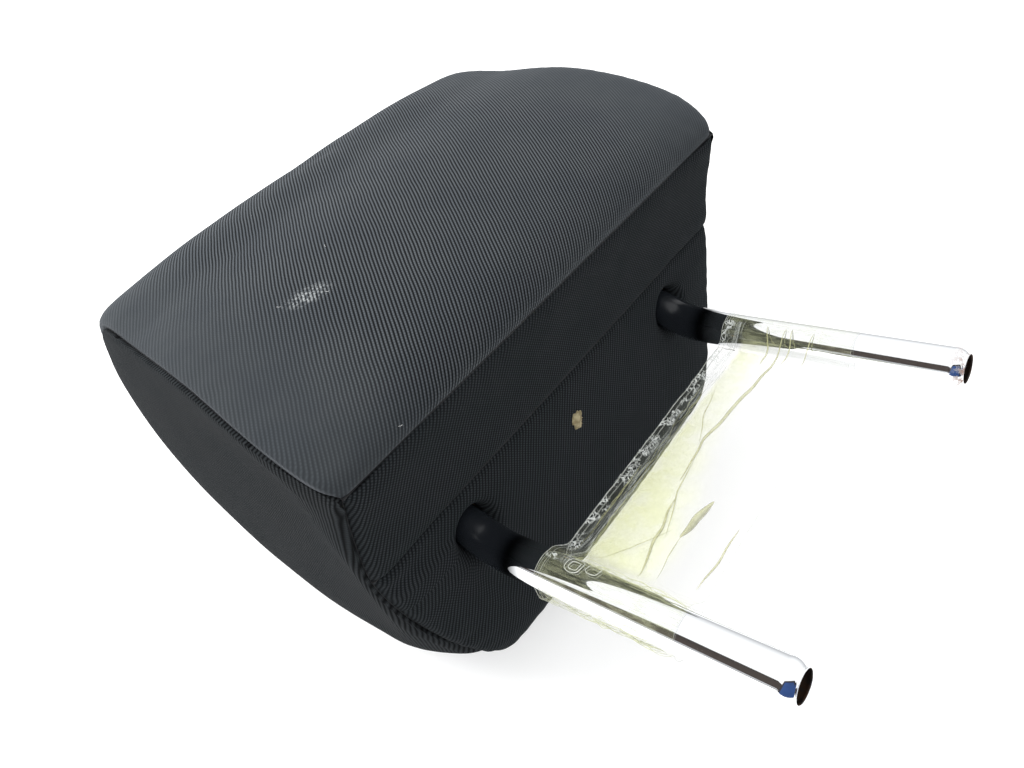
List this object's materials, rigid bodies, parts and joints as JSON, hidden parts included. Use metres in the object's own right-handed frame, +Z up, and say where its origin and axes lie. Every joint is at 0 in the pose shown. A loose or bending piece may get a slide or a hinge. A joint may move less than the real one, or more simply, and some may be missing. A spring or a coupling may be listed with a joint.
{
  "type": "car headrest",
  "caption": "Padded fabric car headrest lying on its back, on a bent chrome tube whose two posts are held by clear packing tape.",
  "frame": {"origin": "on the table plane, under the middle of the whole headrest's box as it lies", "axes": "+Z up from the table, +X to the headrest's left side, +Y from the post tips towards the top of the head, so the front of the head faces up"},
  "size_m": [0.2124, 0.2762, 0.1542],
  "materials": {
    "front_fabric": "charcoal ribbed twill",
    "side_fabric": "charcoal ribbed twill",
    "bottom_fabric": "black fine weave",
    "foam": "moulded polyurethane foam",
    "chrome": "bright plated steel tube",
    "core_plastic": "black moulded plastic",
    "strip_plastic": "extruded plastic",
    "screw_steel": "zinc plated",
    "tape_film": "clear slightly yellow film"
  },
  "bodies": {
    "root": {"main_cover_panel": "front_fabric", "left_side_gusset": "side_fabric", "right_side_gusset": "side_fabric", "bottom_front_strip": "bottom_fabric", "bottom_panel": "bottom_fabric", "foam_core": "foam", "post_frame": "chrome", "front_core_shell": "core_plastic", "rear_core_shell": "core_plastic", "core_screw_1": "screw_steel", "core_screw_2": "screw_steel", "core_screw_3": "screw_steel", "core_screw_4": "screw_steel", "left_post_ring": "core_plastic", "right_post_ring": "core_plastic", "closure_hook_strip": "strip_plastic", "closure_catch_strip": "strip_plastic", "packing_tape": "tape_film"}
  },
  "joints": []
}
